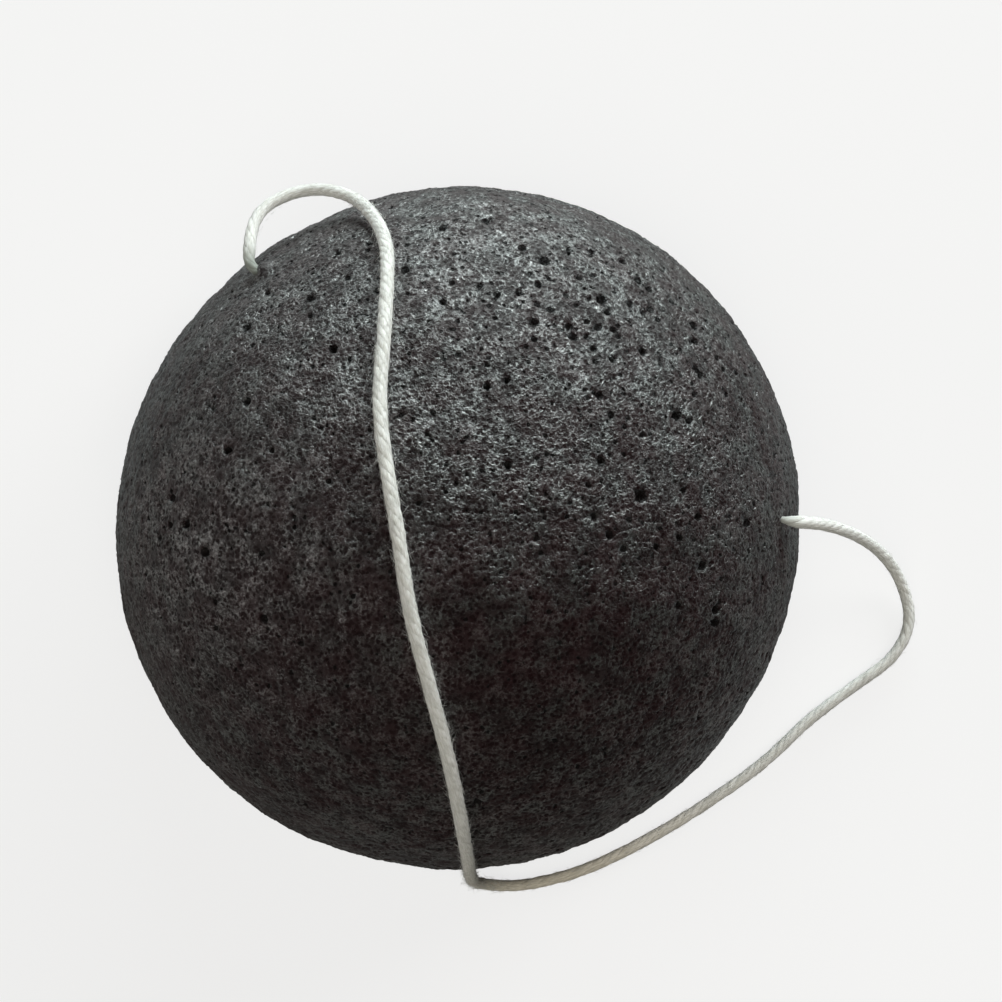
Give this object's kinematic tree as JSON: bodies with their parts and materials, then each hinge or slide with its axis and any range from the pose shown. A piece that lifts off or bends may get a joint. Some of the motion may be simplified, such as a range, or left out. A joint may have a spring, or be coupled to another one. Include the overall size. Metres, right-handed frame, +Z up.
{
  "type": "konjac face sponge",
  "caption": "Porous charcoal-grey half-ball face sponge with a flat base, threaded through by a white cotton string that forms a hanging loop.",
  "frame": {"origin": "centre of the sponge's flat base, on the surface that it rests on", "axes": "+Z up along the sponge's own axis, through the top of its dome; +Y towards the edge near which the string crosses inside, +X towards the right mouth of the string's channel"},
  "size_m": [0.0945, 0.0834, 0.0412],
  "materials": {
    "sponge": "matt, porous, granular plant-fibre foam",
    "string": "matt twisted cotton"
  },
  "bodies": {
    "root": {"sponge_body": "sponge", "string_loop": "string", "string_run_left": "string", "string_run_right": "string", "string_knot": "string"}
  },
  "joints": []
}
